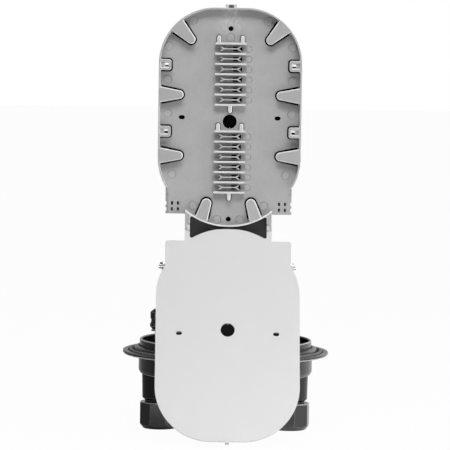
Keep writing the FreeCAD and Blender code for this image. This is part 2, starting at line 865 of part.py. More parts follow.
os.makedirs("parts", exist_ok=True)
save(base_housing(), "base_housing")
save(dome_seal(), "dome_seal")
for i, x, y in port_places():
    fittings = {"gland_nut": gland_nut(nut_turns[i % len(nut_turns)]), "port_seal": port_seal(),
                "pressure_ring": pressure_ring(), "port_plug": port_plug()}
    for name, shape in fittings.items():
        shape.translate(V(x, y, 0))
        save(shape, f"{name}_{i + 1}")
save(at_tray(splice_tray()), "splice_tray")
save(at_tray(hinge_pins()), "hinge_pins")
open_lid = tray_lid()
open_lid.rotate(V(), X_AXIS, lid_open_angle())
save(at_tray(open_lid), "tray_lid")
save(at_tray(tray_carrier()), "tray_carrier")
save(screws_at(foot_screw_places(), floor_top + foot_thick, foot_thick + screw_bite), "foot_screws")
save(clamp_bar(), "clamp_bar")
save(bar_screws(), "bar_screws")
save(clamp_plates(), "clamp_plates")
clamped = clamp_plate_thick + bar_thick
save(screws_at(clamp_places(), bar_low + clamped, clamped + screw_bite), "clamp_screws")
save(clamp_stud(), "clamp_stud")
save(stud_washer(), "stud_washer")
save(thumb_knob(), "thumb_knob")
print("lid opens", round(lid_open_angle(), 3), "degrees; nuts end at", round(nut_bottom, 3))
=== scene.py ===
"""Looks of an opened fibre splice closure: moulded plastics, zinc-plated clamps, floor, lamps and camera."""

import json
import math

import bmesh
import bpy
from bpy.props import FloatProperty, FloatVectorProperty, PointerProperty
from mathutils import Euler, Matrix, Vector


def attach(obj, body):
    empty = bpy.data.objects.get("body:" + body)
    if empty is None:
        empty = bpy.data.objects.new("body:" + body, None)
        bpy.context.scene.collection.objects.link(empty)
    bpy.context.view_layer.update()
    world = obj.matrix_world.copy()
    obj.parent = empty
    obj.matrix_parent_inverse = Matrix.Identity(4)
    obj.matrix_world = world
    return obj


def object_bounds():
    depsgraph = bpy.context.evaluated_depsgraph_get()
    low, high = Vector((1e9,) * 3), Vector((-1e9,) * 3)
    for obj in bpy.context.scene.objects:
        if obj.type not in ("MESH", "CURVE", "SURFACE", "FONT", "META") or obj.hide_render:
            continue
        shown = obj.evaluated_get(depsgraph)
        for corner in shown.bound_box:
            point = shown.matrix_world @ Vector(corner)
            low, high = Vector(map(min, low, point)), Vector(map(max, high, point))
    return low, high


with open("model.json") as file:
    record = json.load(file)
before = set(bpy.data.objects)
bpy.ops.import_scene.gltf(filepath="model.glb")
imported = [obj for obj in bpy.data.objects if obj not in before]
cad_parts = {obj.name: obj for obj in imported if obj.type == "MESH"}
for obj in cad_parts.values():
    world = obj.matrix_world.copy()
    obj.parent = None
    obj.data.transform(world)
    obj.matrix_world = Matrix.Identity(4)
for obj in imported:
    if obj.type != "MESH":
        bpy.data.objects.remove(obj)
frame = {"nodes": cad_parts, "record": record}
CAD_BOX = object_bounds()
NODES = frame["nodes"]
PORTS = range(1, 5)
MM = 0.001

# Hinge of the lid, and how deep the tray's rim and floor lie
HINGE = Vector(frame["record"]["behaviour"]["joints"][0]["pos_m"])
TRAY_RIM = HINGE.y
TRAY_DEPTH = 8.0 * MM
TRAY_FLOOR = TRAY_RIM + TRAY_DEPTH

# Sockets of a Mix node that mixes colours
MIX_FACTOR = 0
MIX_FIRST = 6
MIX_SECOND = 7
MIX_RESULT = 2

# Masks: rays and gain of the edge mask, steepness of a line's sides, least share of an edge's wear and
# painted highlight, and noise
BEVEL_SAMPLES = 8
EDGE_GAIN = 16.0
LINE_GAIN = 2.0
EDGE_LEAST_SHARE = 0.4
NOISE_MIDDLE = 0.5
NOISE_DETAIL = 2.0

# Moulded plastics: flow clouds, scuffs, and what they and the worn edges do to the roughness
FLOW_SIZE = 28.0 * MM
FLOW_DETAIL = 3.0
FLOW_ROUGH = 0.12
SCUFF_SIZE = 4.0 * MM
SCUFF_DETAIL = 4.0
GRAIN_ROUGH = 0.08
EDGE_POLISH = 0.06
CLOUDY = 0.06

# Single mouldings: depth of the grain, roughness, gloss, clouds, and how much paler their edges wear
BASE_GRAIN = 0.02 * MM
NUT_GRAIN = 0.012 * MM
NUT_SMOOTHER = 0.04
PLUG_ROUGH = 0.4
CARRIER_GRAIN = 0.03 * MM
CARRIER_ROUGH = 0.45
HOOK_ROUGH = 0.5
HOOK_GLOSS = 0.2
DARK_WEAR = 2.0
KNOB_GRAIN = 0.008 * MM
KNOB_ROUGH = 0.2
LID_GRAIN = 0.008 * MM
LID_ROUGH = 0.46
LID_GLOSS = 0.4
LID_CLOUDY = 0.02
LID_WEAR = 1.06

# Ridges with painted highlight lines in pale grey, by height and half width: spigot rim, flange edge and
# foot of the drum, which lie outside a radius, and the tops of the gland nuts
BASE_RIDGES = ((5.9 * MM, 0.5 * MM), (-8.0 * MM, 0.8 * MM), (-28.4 * MM, 0.9 * MM))
RIDGE_RADIUS = 85.7 * MM
RIDGE_FADE = 0.4 * MM
NUT_RIDGES = ((-59.0 * MM, 0.5 * MM),)

# Creases at the feet of the steps on top of the flange, painted near-black as shade and dulled, by radius
# and between two heights
CREASE_RADII = (88.5 * MM, 94.5 * MM, 99.6 * MM)
CREASE_HALF = 0.9 * MM
CREASE_GAIN = 1.5
CREASE_LOW = -6.8 * MM
CREASE_HIGH = 0.8 * MM
CREASE_FADE = 0.5 * MM
CREASE_GRAINS = 25.0
CREASE_ROUGH = 0.7

# Tray plastic: grain, roughness, gloss, and its mottle of flow clouds and scuffs
TRAY_GRAIN = 0.015 * MM
TRAY_ROUGH = 0.46
TRAY_ROUGH_SPAN = 0.1
TRAY_GLOSS = 0.4
TRAY_FLOW_SIZE = 22.0 * MM
TRAY_SCUFF_SIZE = 3.0 * MM
TRAY_MOTTLE = 0.8
TRAY_CONTRAST = 0.09

# Where the tray is painted pale: painted highlights on edges near the rim except at the top catch (with some
# wear), on chamfers, on tops of the ribs, and on the top of the curved wall at its lower end
RAISED_END = 5.0 * MM
RAISED_FADE = 3.0 * MM
CATCH_LOW = HINGE.z + 220.6 * MM
CATCH_FADE = 8.0 * MM
CHAMFER_FACING = math.sqrt(0.5)
CHAMFER_SPREAD = 0.2
CHAMFER_LOW = HINGE.z + 5.0 * MM
RIB_DEPTH = 1.5 * MM
RIB_HALF = 0.8 * MM
RIB_REACH = 17.0 * MM
RIB_HIGHLIGHT = 0.52
ARC_CENTRE = HINGE.z + 70.9 * MM
ARC_RADIUS = 69.25 * MM
ARC_HALF = 0.9 * MM
ARC_TOP = HINGE.z + 20.0 * MM

# Faint rubbing marks that fan out below the top catch
RUB_TOP = HINGE.z + 236.0 * MM
RUB_REACH = 44.0 * MM
RUB_SPREAD = 0.42
RUB_FINENESS = 15.0
RUB_WAVES = 14.0
RUB_DETAIL = 3.0
RUB_DISTORTION = 0.4
RUB_CUT = 0.42
RUB_SOFTNESS = 0.3125
RUB_WEAR = 0.8

# Painted shade: dead black on the part of the carrier's front face that the tray covers, above a line that
# rises to both sides
COVER_LOW = HINGE.z + 3.5 * MM
COVER_SLOPE = 0.27
COVER_BACK = TRAY_FLOOR + 3.0 * MM
COVER_ROUGH = 0.9
COVER_GLOSS = 0.05

# Zinc plating: stretch of the drawn lines, dull clouds, bare edges
ZINC_STRETCH = (60.0, 1500.0, 1500.0)
ZINC_LINE_DEPTH = 0.006 * MM
ZINC_LINE_ROUGH = 0.12
ZINC_CLOUD_SIZE = 5.0 * MM
ZINC_CLOUD_ROUGH = 0.14
ZINC_ROUGH = 0.24
ZINC_DULL = 0.82
ZINC_BARE = 1.15

# Seal rubber
DUST_SIZE = 3.0 * MM
DUST_DARK = 0.8
DUST_PALE = 1.5
DUST_ROUGH = 0.2
RUBBER_ROUGH = 0.55
SKIN_DEPTH = 0.02 * MM

# Ejector circles on the tray floor, in millimetres across from its middle and up from its hinge,
# and the steps of one, as shares of its radius and its height
MARK_SIDES = 40
MARK_COLUMN = 18.5
MARK_ROWS = (178.8, 91.2)
RIB_PITCH = 10.18
SLOT_COUNT = 6
MARK_SINGLE = (0.0, 190.4)
MARK_PAIRS = ((62.0, 181.0), (62.4, 147.6), (37.5, 206.6), (62.0, 114.0),
              (57.0, 53.0), (35.5, 22.0), (11.5, 8.0))
MARK_STEPS = ((1.0, 0.0), (0.97, 1.0), (0.86, 1.0), (0.82, 0.5))
MARK_TINT = 1.03

# Snap hooks in the carrier's four windows: foot and top up from the hinge, and their place in the carrier
HOOK_ROWS = ((158.6 * MM, 162.0 * MM), (92.2 * MM, 96.0 * MM))
HOOK_MIDDLE = 63.5 * MM
HOOK_HALF = 2.3 * MM
HOOK_FRONT = TRAY_FLOOR + 2.0 * MM
HOOK_BACK = TRAY_FLOOR + 5.0 * MM
HOOK_NOSE = 1.2 * MM

# Stop that closes the back of the top catch's slot, behind the end of the lid's latch
STOP_LOW = HINGE.z + 219.5 * MM
STOP_HIGH = HINGE.z + 222.5 * MM
STOP_FRONT = TRAY_RIM + 6.0 * MM
STOP_BACK = TRAY_RIM + 7.8 * MM
STOP_HALF = 2.4 * MM
STOP_LEAD = 0.8 * MM
STOP_PROFILE = ((STOP_FRONT, STOP_LOW), (STOP_BACK, STOP_LOW), (STOP_BACK, STOP_HIGH),
                (STOP_FRONT + STOP_LEAD, STOP_HIGH), (STOP_FRONT, STOP_HIGH - STOP_LEAD))

# Rounding of the hooks' and the stop's edges
BAR_ROUND = 0.25 * MM
BAR_SEGMENTS = 2
BAR_PROFILE = 0.5

# Rounded ends of the gap between lid and tray: half its width, slope of its edges there, and for each of the
# two the corner, the way into the gap, the way through the plate and its depth
GAP_HALF = 38.5 * MM
GAP_SLOPE = math.radians(32.0)
GAP_ROUND = 1.8 * MM
GAP_BITE = 0.3 * MM
GAP_INSET = 0.02 * MM
GAP_STEPS = 8
LID_CORNER = (Vector((0, HINGE.y - 4.24 * MM, HINGE.z - 11.48 * MM)), Vector((0, 0.37, 0.93)),
              Vector((0, 0.93, -0.37)), 2.0 * MM)
TRAY_CORNER = (Vector((0, HINGE.y, HINGE.z + 12.44 * MM)), Vector((0, 0, -1)),
               Vector((0, 1, 0)), TRAY_DEPTH)

# White studio: share of the floor's own white, and how bright it is to the right, front, left and back
FLOOR_GLOW = 0.97
SIDE_GAIN = 1.4
FRONT_LIGHT = 0.7
LEFT_LIGHT = 0.2
FLOOR_BACK_LIGHT = 1.0
WALL_BACK_LIGHT = 0.4

# Floor, which reaches as far to each side
FLOOR_REACH = 40.0
FLOOR_WHITE = (0.86, 0.86, 0.86)
FLOOR_ROUGH = 0.9

# Soft boxes, each with its place, the point that it faces, its width and its height
AIM = (0, 0, 0.12)
KEY_BOX = ((0.1, -1.6, 2.1), AIM, 1.8, 0.9)
RIGHT_BOX = ((1.5, -0.6, 0.1), AIM, 0.6, 1.4)
LOW_BOX = ((0.05, -0.36, -0.09), (0, -0.14, -0.08), 0.5, 0.06)

# Camera: width of its sensor in millimetres, and how far it sees in metres
SENSOR_WIDTH = 36.0
CLIP_END = 100.0

bl_info = {
    "name": "Fibre splice closure looks",
    "version": (1, 0, 0),
    "blender": (4, 5, 0),
    "location": "3D View > Sidebar > Closure",
    "description": "Materials, moulding marks and studio for an opened fibre splice closure",
    "category": "Material",
}


def colour(name, description, default):
    return FloatVectorProperty(
        name=name, description=description, subtype="COLOR", size=3, min=0, max=1, default=default)


def length(name, description, default):
    return FloatProperty(
        name=name, description=description, unit="LENGTH", min=0, precision=5, default=default)


def share(name, description, default):
    return FloatProperty(name=name, description=description, subtype="FACTOR", min=0, max=1, default=default)


def angle(name, description, default):
    return FloatProperty(name=name, description=description, subtype="ANGLE", default=math.radians(default))


class ClosureFinish(bpy.types.PropertyGroup):
    """Colours and surface sizes of the closure's plastics and metal."""

    base_black: colour("Base black", "Base, nuts, pressure rings and hooks", (0.005, 0.005, 0.0055))
    carrier_black: colour("Carrier black", "Tray carrier", (0.03, 0.03, 0.031))
    # Painted shade: near-black for the part of the carrier that the tray covers
    covered_shade_black: colour("Recess black", "Carrier face that the tray covers", (0.0015, 0.0015, 0.0015))
    knob_black: colour("Knob black", "Glossy thumb knob", (0.006, 0.006, 0.0065))
    plug_black: colour("Plug black", "Blank port plugs", (0.02, 0.02, 0.022))
    # Partly wear and partly painted highlight: pale grey on the rounded edges of the black parts
    black_edge_wear_and_highlight: colour("Black edge wear and highlight", "Worn edges of base, nuts, plugs and knob, with painted highlight", (0.32, 0.32, 0.324))
    # Painted shade: near-black in the creases at the feet of the flange's steps
    crease_shade_black: colour("Crease black", "Creases on the flange", (0.002, 0.002, 0.002))
    # Painted highlight: pale grey lines on ridges of the base and on the tops of the nuts
    ridge_highlight_grey: colour("Ridge grey", "Painted highlight lines on the ridges of the base and the nuts", (0.6, 0.6, 0.604))
    tray_floor_grey: colour("Tray grey", "Floor and faces of the splice tray", (0.42, 0.42, 0.423))
    # Painted highlight, partly wear: pale grey on the tray's edges near the rim, chamfers, rib tops and
    # curved wall
    tray_edge_highlight_grey: colour("Tray edge grey", "Painted highlight on edges of rim, ribs and tongues, partly wear", (0.85, 0.85, 0.853))
    lid_grey: colour("Lid grey", "Light-grey tray lid", (0.637, 0.637, 0.64))
    seal_grey: colour("Seal grey", "Elastomer seal rings", (0.16, 0.16, 0.165))
    zinc: colour("Zinc", "Zinc-plated clamps and screws", (0.66, 0.67, 0.68))
    base_roughness: share("Base roughness", "Satin of the base and the nuts", 0.24)
    black_gloss: share("Black gloss", "Specular level of base, plugs, carrier and knob", 0.5)
    nut_gloss: share("Nut gloss", "Specular level of the gland nuts", 0.75)
    grain_size: length("Grain size", "Grain of the eroded mould surface", 0.45 * MM)
    edge_radius: length("Edge radius", "Edges of lid, carrier, hooks and metal", 0.35 * MM)
    black_edge: length("Black edge radius", "Edges of base, nuts, plugs and knob", 0.8 * MM)
    # Width of the tray's rounded edges and of the painted highlight along them
    pale_edge_width: length("Pale edge width", "Pale band along the tray's edges", 1.3 * MM)
    mark_radius: length("Ejector mark radius", "Circles that the ejector pins leave in the tray", 4.6 * MM)
    rib_mark_radius: length("Rib mark radius", "Ejector circles beside the ribs", 3.6 * MM)
    mark_edge: length("Ejector mark edge", "Rounding of the ejector circles' edges", 0.5 * MM)
    mark_depth: length("Ejector mark depth", "Height of the ejector circles", 0.04 * MM)


class ClosureStudio(bpy.types.PropertyGroup):
    """Camera and light of the studio."""

    camera_distance: length("Camera distance", "From the point that it turns about", 2.5)
    camera_height: length("Camera height", "Above the origin", 0.264)
    camera_side: length("Camera offset", "To the left of the closure's middle", 0.0033)
    camera_depth: length("Camera depth", "In front of the base axis to the point that it turns about", 0.055)
    camera_yaw: angle("Camera yaw", "Turn to the right", 1.068)
    camera_pitch: angle("Camera pitch", "Downward tilt", 3.152)
    camera_roll: angle("Camera roll", "Turn about the view axis", 0.817)
    camera_lens: FloatProperty(name="Lens", description="Focal length in millimetres", default=200.0, min=1)
    key_power: FloatProperty(
        name="Key light", description="Soft box above the camera", subtype="POWER", default=44.0)
    side_power: FloatProperty(
        name="Side light", description="Tall soft box at the right", subtype="POWER", default=12.0)
    low_power: FloatProperty(
        name="Low light", description="Flat soft box in front of the base", subtype="POWER", default=0.6)
    fill: FloatProperty(
        name="Fill", description="Strength of the surrounding light", default=0.1, min=0)


class Socket:
    """A socket of a shader tree, so that shader maths reads as a Python expression."""

    def __init__(self, shader, link):
        self.shader = shader
        self.link = link

    def maths(self, operation, *values):
        return self.shader.node("ShaderNodeMath", {"operation": operation}, dict(enumerate(values)))

    def __add__(self, other):
        return self.maths("ADD", self, other)

    def __radd__(self, other):
        return self.maths("ADD", other, self)

    def __sub__(self, other):
        return self.maths("SUBTRACT", self, other)

    def __rsub__(self, other):
        return self.maths("SUBTRACT", other, self)

    def __mul__(self, other):
        return self.maths("MULTIPLY", self, other)

    def __rmul__(self, other):
        return self.maths("MULTIPLY", other, self)

    def __abs__(self):
        return self.maths("ABSOLUTE", self)

    def root(self):
        return self.maths("SQRT", self)

    def clamped(self):
        return self.shader.node("ShaderNodeClamp", {}, {"Value": self})

    def above(self, limit, fade):
        """Mask that rises from 0 at a limit to 1 over a fade."""
        return ((self - limit) * (1 / fade)).clamped()

    def below(self, limit, fade):
        """Mask that falls from 1 over a fade to 0 at a limit."""
        return ((limit - self) * (1 / fade)).clamped()

    def line(self, half, gain=LINE_GAIN):
        """Mask that is 1 near zero and falls to 0 at a half width."""
        return (gain - abs(self) * (gain / half)).clamped()

    def swing(self, span):
        """Change to both sides of zero, made from a noise."""
        return (self - NOISE_MIDDLE) * span


class Shader:
    """A material's or a world's node tree, with one method that adds any node."""

    def __init__(self, tree):
        self.tree = tree
        self.surface = tree.nodes.get("Principled BSDF")

    def node(self, kind, settings, inputs, output=0):
        made = self.tree.nodes.new(kind)
        for name, value in settings.items():
            setattr(made, name, value)
        self.feed(made, inputs)
        return Socket(self, made.outputs[output])

    def feed(self, node, inputs):
        for key, value in inputs.items():
            if isinstance(value, Socket):
                self.tree.links.new(value.link, node.inputs[key])
            else:
                node.inputs[key].default_value = value

    def noise(self, place, size, detail=NOISE_DETAIL):
        inputs = {"Vector": place, "Scale": 1 / size, "Detail": detail}
        return self.node("ShaderNodeTexNoise", {}, inputs, "Fac")

    def mix(self, factor, first, second):
        """Colour between two, where the factor is a socket and each colour a socket or a plain colour."""
        inputs = {MIX_FACTOR: factor, MIX_FIRST: rgba(first), MIX_SECOND: rgba(second)}
        return self.node("ShaderNodeMix", {"data_type": "RGBA"}, inputs, MIX_RESULT)

    def rounded(self, radius):
        """Normal with rounded edges, and a mask that is 1 along those edges."""
        normal = self.node("ShaderNodeBevel", {"samples": BEVEL_SAMPLES}, {"Radius": radius})
        plain = self.node("ShaderNodeNewGeometry", {}, {}, "Normal")
        dot = self.node("ShaderNodeVectorMath", {"operation": "DOT_PRODUCT"}, {0: normal, 1: plain}, "Value")
        return normal, ((1 - dot) * EDGE_GAIN).clamped()

    def bump(self, height, distance, normal):
        inputs = {"Height": height, "Distance": distance, "Normal": normal, "Strength": 1.0}
        return self.node("ShaderNodeBump", {}, inputs)

    def where(self):
        return self.node("ShaderNodeTexCoord", {}, {}, "Object")

    def part(self, vector, axis):
        return self.node("ShaderNodeSeparateXYZ", {}, {"Vector": vector}, axis)

    def parts(self, vector):
        return [self.part(vector, axis) for axis in "XYZ"]

    def show(self, factor, first, second):
        """Surface between two shaders."""
        mixed = self.node("ShaderNodeMixShader", {}, {0: factor, 1: first, 2: second})
        self.feed(self.tree.nodes["Material Output"], {"Surface": mixed})


def new_material(name):
    material = bpy.data.materials.new(name)
    material.use_nodes = True
    return material


def rgba(value):
    return value if isinstance(value, Socket) else (*value, 1.0)


def scaled(tint, factor):
    return tuple(min(1.0, part * factor) for part in tint)


def level_lines(shader, place, ridges):
    """Mask of thin level lines."""
    high = shader.part(place, "Z")
    return sum((high - ridge).line(half) for ridge, half in ridges)


def nut_lines(shader, place):
    """Mask of the painted highlight lines on the tops of the gland nuts, which have no creases."""
    return level_lines(shader, place, NUT_RIDGES), None


def base_lines(shader, place):
    """Masks of the thin painted highlight lines round the base and of the painted shade in the creases on
    its flange.
    """
    across, deep, high = shader.parts(place)
    radius = (across * across + deep * deep).root()
    outside = radius.above(RIDGE_RADIUS, RIDGE_FADE)
    on_top = high.above(CREASE_LOW, CREASE_FADE) * high.below(CREASE_HIGH, CREASE_FADE)
    creases = sum((radius - crease).line(CREASE_HALF, CREASE_GAIN) for crease in CREASE_RADII)
    return outside * level_lines(shader, place, BASE_RIDGES), on_top * creases


def moulded(name, tint, roughness, gloss, finish, edge_radius, grain_depth, edge_wear_and_highlight_tint,
            cloudy=CLOUDY, lines=None):
    """Injection-moulded plastic: fine eroded grain, faint flow clouds, paler and smoother worn edges (on
    black mouldings also a painted highlight), and where given, painted highlight lines and painted shade in
    creases.
    """
    material = new_material(name)
    shader = Shader(material.node_tree)
    place = shader.where()
    normal, edge = shader.rounded(edge_radius)
    grain = shader.noise(place, finish.grain_size)
    cloud = shader.noise(place, FLOW_SIZE, FLOW_DETAIL)
    scuff = shader.noise(place, SCUFF_SIZE, SCUFF_DETAIL)
    body = shader.mix(cloud, scaled(tint, 1 - cloudy), scaled(tint, 1 + cloudy))
    # Paler edges: wear, and on black mouldings also a painted highlight
    wear_and_painted_light = shader.mix((edge * (EDGE_LEAST_SHARE + scuff)).clamped(), body, edge_wear_and_highlight_tint)
    rough = roughness + cloud.swing(FLOW_ROUGH) + grain.swing(GRAIN_ROUGH) - edge * EDGE_POLISH
    ridge, crease = lines(shader, place) if lines else (None, None)
    # Painted highlight: pale lines along the ridges
    if ridge:
        wear_and_painted_light = shader.mix(ridge, wear_and_painted_light, finish.ridge_highlight_grey)
    # Painted shade: near-black creases, which are also rougher and have less grain
    if crease:
        wear_and_painted_light = shader.mix(crease, wear_and_painted_light, finish.crease_shade_black)
        rough = rough + crease * CREASE_ROUGH
        grain = grain - crease * CREASE_GRAINS
    shader.feed(shader.surface, {
        "Base Color": wear_and_painted_light, "Roughness": rough, "Specular IOR Level": gloss,
        "Normal": shader.bump(grain, grain_depth, normal)})
    return material


def black_moulded(name, tint, roughness, gloss, finish, grain_depth, lines=None):
    """Black moulding whose edges are rounded, and rubbed grey and painted with a highlight."""
    return moulded(name, tint, roughness, gloss, finish, finish.black_edge, grain_depth,
                   finish.black_edge_wear_and_highlight, lines=lines)


def rub_marks(shader, across, high):
    """Mask of fine streaks that spread downward from the tray's top catch."""
    drop = RUB_TOP - high
    turn = drop.maths("ARCTAN2", across, drop)
    place = shader.node("ShaderNodeCombineXYZ", {}, {"X": turn, "Y": drop * RUB_WAVES})
    inputs = {"Vector": place, "Scale": RUB_FINENESS, "Detail": RUB_DETAIL, "Distortion": RUB_DISTORTION}
    streak = shader.node("ShaderNodeTexNoise", {}, inputs, "Fac")
    return streak.above(RUB_CUT, RUB_SOFTNESS) * turn.line(RUB_SPREAD) * drop.line(RUB_REACH)


def tray_wear_and_highlight(shader, place, edge, scuff):
    """Mask of the places where the tray is pale: painted highlights on edges, chamfers, rib tops and the
    curved wall, and rubbing marks.
    """
    across, deep, high = shader.parts(place)
    depth = deep - TRAY_RIM
    raised = depth.below(RAISED_END, RAISED_FADE) * high.below(CATCH_LOW, CATCH_FADE)
    facing = shader.part(shader.node("ShaderNodeNewGeometry", {}, {}, "True Normal"), "Y")
    chamfer = (abs(facing) - CHAMFER_FACING).line(CHAMFER_SPREAD) * high.above(CHAMFER_LOW, MM)
    climb = high - ARC_CENTRE
    arc = ((across * across + climb * climb).root() - ARC_RADIUS).line(ARC_HALF) * high.below(ARC_TOP, MM)
    ribs = (depth - RIB_DEPTH).line(RIB_HALF) * abs(across).below(RIB_REACH, MM)
    edges = (chamfer + arc + edge * (EDGE_LEAST_SHARE + scuff)) * raised
    return (edges + ribs * RIB_HIGHLIGHT + rub_marks(shader, across, high) * RUB_WEAR).clamped()


def tray_plastic(name, tint, rounding, finish):
    """Grey tray plastic, mottled, with painted highlights on its edges, partly wear, and rubbing marks."""
    material = new_material(name)
    shader = Shader(material.node_tree)
    place = shader.where()
    normal, edge = shader.rounded(rounding)
    grain = shader.noise(place, finish.grain_size)
    cloud = shader.noise(place, TRAY_FLOW_SIZE, FLOW_DETAIL)
    scuff = shader.noise(place, TRAY_SCUFF_SIZE, SCUFF_DETAIL)
    mottle = (cloud + scuff.swing(TRAY_MOTTLE)).clamped()
    body = shader.mix(mottle, scaled(tint, 1 - TRAY_CONTRAST), scaled(tint, 1 + TRAY_CONTRAST))
    # Painted highlight, partly wear, on edges, chamfers, rib tops and curved wall; rubbing marks below the
    # catch
    wear_and_highlight_colour = shader.mix(tray_wear_and_highlight(shader, place, edge, scuff), body, finish.tray_edge_highlight_grey)
    rough = TRAY_ROUGH + grain.swing(TRAY_ROUGH_SPAN) + cloud.swing(TRAY_ROUGH_SPAN)
    shader.feed(shader.surface, {
        "Base Color": wear_and_highlight_colour, "Roughness": rough, "Specular IOR Level": TRAY_GLOSS,
        "Normal": shader.bump(grain, TRAY_GRAIN, normal)})
    return material


def carrier_plastic(name, finish):
    """Satin black of the carrier, and dead black painted as shade where the tray covers it."""
    tint = finish.carrier_black
    material = moulded(name, tint, CARRIER_ROUGH, finish.black_gloss, finish, finish.edge_radius,
                       CARRIER_GRAIN, scaled(tint, DARK_WEAR))
    shader = Shader(material.node_tree)
    across, deep, high = shader.parts(shader.where())
    # Painted shade: a dead black, nearly matt surface where the tray covers the carrier's front face
    covered = (high - abs(across) * COVER_SLOPE).above(COVER_LOW, MM) * deep.below(COVER_BACK, MM)
    satin = Socket(shader, shader.surface.outputs[0])
    painted_shade = shader.node("ShaderNodeBsdfPrincipled", {}, {
        "Base Color": rgba(finish.covered_shade_black), "Roughness": COVER_ROUGH,
        "Specular IOR Level": COVER_GLOSS})
    shader.show(covered, satin, painted_shade)
    return material


def zinc_plating(name, tint, finish):
    """Bright zinc over steel: drawn lines, dull passivation clouds and bare edges."""
    material = new_material(name)
    shader = Shader(material.node_tree)
    place = shader.where()
    normal, edge = shader.rounded(finish.edge_radius)
    stretched = shader.node("ShaderNodeMapping", {}, {"Vector": place, "Scale": ZINC_STRETCH})
    lines = shader.noise(stretched, size=1.0)
    cloud = shader.noise(place, ZINC_CLOUD_SIZE, FLOW_DETAIL)
    body = shader.mix(cloud, scaled(tint, ZINC_DULL), tint)
    shader.feed(shader.surface, {
        "Base Color": shader.mix(edge, body, scaled(tint, ZINC_BARE)), "Metallic": 1.0,
        "Roughness": ZINC_ROUGH + cloud.swing(ZINC_CLOUD_ROUGH) + lines.swing(ZINC_LINE_ROUGH),
        "Normal": shader.bump(lines, ZINC_LINE_DEPTH, normal)})
    return material


def rubber(name, tint, finish):
    """Seal elastomer: dull, dusty, with a fine skin."""
    material = new_material(name)
    shader = Shader(material.node_tree)
    place = shader.where()
    dust = shader.noise(place, DUST_SIZE, SCUFF_DETAIL)
    skin = shader.noise(place, finish.grain_size)
    shader.feed(shader.surface, {
        "Base Color": shader.mix(dust, scaled(tint, DUST_DARK), scaled(tint, DUST_PALE)),
        "Roughness": RUBBER_ROUGH + dust.swing(DUST_ROUGH),
        "Normal": shader.node("ShaderNodeBump", {}, {"Height": skin, "Distance": SKIN_DEPTH})})
    return material


def paint(names, material):
    """Give CAD nodes a material in every slot."""
    for name in names:
        slots = NODES[name].data.materials
        slots.clear()
        slots.append(material)


def new_piece(name, mesh, body, material):
    """New object in the row frame that rides a body."""
    piece = bpy.data.objects.new(name, mesh)
    bpy.context.scene.collection.objects.link(piece)
    mesh.materials.append(material)
    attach(piece, body)


def add_form(made, loops):
    """Closed form through loops that have as many points each."""
    rings = [[made.verts.new(point) for point in loop] for loop in loops]
    for first, second in zip(rings, rings[1:]):
        for i in range(len(first)):
            j = (i + 1) % len(first)
            made.faces.new((first[i], first[j], second[j], second[i]))
    made.faces.new(rings[0])
    made.faces.new(rings[-1])


def finished(made, name):
    """Mesh of closed forms, with their faces turned outward."""
    bmesh.ops.recalc_face_normals(made, faces=made.faces[:])
    mesh = bpy.data.meshes.new(name)
    made.to_mesh(mesh)
    made.free()
    return mesh


def ejector_marks(name, places, height):
    """Low round pads, each with a raised lip, standing forward of the tray floor."""
    made = bmesh.new()
    turns = [2 * math.pi * i / MARK_SIDES for i in range(MARK_SIDES)]
    for x, row, radius in places:
        foot = (x * MM, TRAY_FLOOR, HINGE.z + row * MM)
        stand = Matrix.Translation(foot) @ Matrix.Rotation(math.pi / 2, 4, "X")
        add_form(made, [
            [stand @ Vector((reach * radius * math.cos(t), reach * radius * math.sin(t), rise * height))
             for t in turns] for reach, rise in MARK_STEPS])
    return finished(made, name)


def hook_profiles():
    """Outlines in depth and height of the hooks, which have a sloping back."""
    for foot, top in HOOK_ROWS:
        low, high = HINGE.z + foot, HINGE.z + top
        yield [(HOOK_FRONT, low), (HOOK_BACK, low), (HOOK_BACK, high - HOOK_NOSE),
               (HOOK_BACK - HOOK_NOSE, high), (HOOK_FRONT, high)]


def bars(name, profiles, middles, half):
    """Short bars across the part, one of each profile at each middle, with rounded edges."""
    made = bmesh.new()
    for profile in profiles:
        for middle in middles:
            add_form(made, [[(middle + reach, y, z) for y, z in profile] for reach in (-half, half)])
    bmesh.ops.bevel(made, geom=made.edges[:], offset=BAR_ROUND, segments=BAR_SEGMENTS, affect="EDGES",
                    profile=BAR_PROFILE)
    return finished(made, name)


def gap_fillets(name, corner, inward, through, depth):
    """Pair of small fillets that round off the two ends of the gap on one of its sides."""
    middle = (math.pi / 2 + GAP_SLOPE) / 2
    half_turn = (math.pi / 2 - GAP_SLOPE) / 2
    reach = GAP_ROUND / math.sin(half_turn)
    along, up = math.cos(GAP_SLOPE), math.sin(GAP_SLOPE)
    tangent = GAP_ROUND / math.tan(half_turn)
    turns = [math.pi + (math.pi - 2 * half_turn) * i / GAP_STEPS for i in range(GAP_STEPS + 1)]
    outline = [(-GAP_BITE, -GAP_BITE), (-GAP_BITE, tangent)]
    outline += [(reach * math.cos(middle) + GAP_ROUND * math.cos(t),
                 reach * math.sin(middle) + GAP_ROUND * math.sin(t)) for t in turns]
    outline.append((tangent * along + GAP_BITE * up, tangent * up - GAP_BITE * along))
    made = bmesh.new()
    for side in (-1, 1):
        add_form(made, [
            [corner + inward * b + through * w + Vector((side * (GAP_HALF - a), 0, 0)) for a, b in outline]
            for w in (GAP_INSET, depth - GAP_INSET)])
    return finished(made, name)


